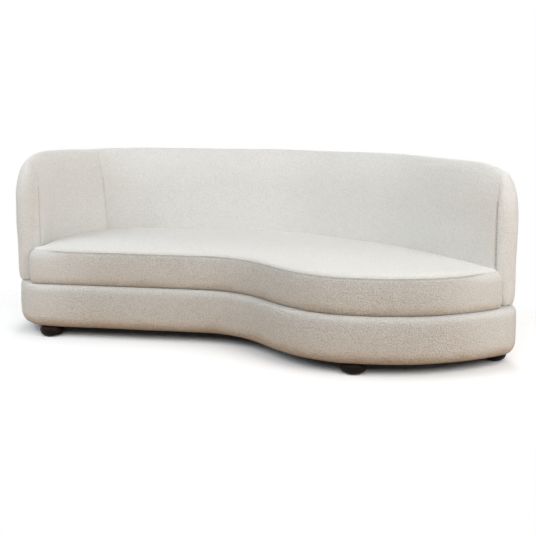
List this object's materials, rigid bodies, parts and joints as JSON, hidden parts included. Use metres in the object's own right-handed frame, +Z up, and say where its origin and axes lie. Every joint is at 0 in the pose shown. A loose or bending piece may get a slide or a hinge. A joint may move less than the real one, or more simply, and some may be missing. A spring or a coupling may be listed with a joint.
{
  "type": "curved sofa",
  "caption": "Cream boucle sofa with a kidney-shaped seat, a back that wraps round the left end, a padded plinth and dark turned bun feet.",
  "frame": {"origin": "on the floor, under the middle of the whole sofa", "axes": "+X along the straight back towards the round lobe, +Y from the front towards the back, +Z up"},
  "size_m": [2.3001, 1, 0.84],
  "materials": {
    "cover_fabric": "looped boucle pile, matte",
    "dark_wood": "dark stained, satin lacquer",
    "plywood": "raw sanded plywood",
    "foam": "open-cell cut foam",
    "wadding": "white polyester wadding",
    "hessian": "coarse woven jute",
    "dust_cloth": "black non-woven cloth",
    "zinc_steel": "zinc plated",
    "spring_steel": "oiled spring wire",
    "glide_plastic": "smooth moulded"
  },
  "bodies": {
    "root": {"base_bottom_panel": "plywood", "base_top_ring": "plywood", "base_posts": "plywood", "base_skin": "plywood", "base_foam": "foam", "base_cover": "cover_fabric", "base_dust_cover": "dust_cloth", "foot_front_left": "dark_wood", "foot_front_lobe": "dark_wood", "foot_front_right": "dark_wood", "foot_rear_left": "dark_wood", "foot_rear_middle": "dark_wood", "foot_rear_right": "dark_wood", "foot_bolts": "zinc_steel", "foot_tee_nuts": "zinc_steel", "foot_glides": "glide_plastic", "seat_lower_ring": "plywood", "seat_upper_ring": "plywood", "seat_frame_blocks": "plywood", "cross_rail_left": "plywood", "cross_rail_middle": "plywood", "cross_rail_right": "plywood", "body_bolts": "zinc_steel", "body_washers": "zinc_steel", "body_tee_nuts": "zinc_steel", "spring_1": "spring_steel", "spring_2": "spring_steel", "spring_3": "spring_steel", "spring_4": "spring_steel", "spring_5": "spring_steel", "spring_6": "spring_steel", "spring_7": "spring_steel", "spring_8": "spring_steel", "spring_9": "spring_steel", "spring_10": "spring_steel", "spring_clips": "spring_steel", "tie_wires": "spring_steel", "seat_hessian": "hessian", "seat_foam": "foam", "seat_topper": "wadding", "seat_boxing": "cover_fabric", "seat_top_panel": "cover_fabric", "back_lower_rail": "plywood", "back_middle_rail": "plywood", "back_top_rail": "plywood", "back_posts": "plywood", "left_end_board": "plywood", "right_end_board": "plywood", "back_inner_board": "plywood", "back_outer_board": "plywood", "back_foam": "foam", "back_wadding": "wadding", "left_arm_inside_cover": "cover_fabric", "back_inside_cover": "cover_fabric", "back_outside_cover": "cover_fabric", "left_end_facing": "cover_fabric", "right_end_facing": "cover_fabric"}
  },
  "joints": []
}
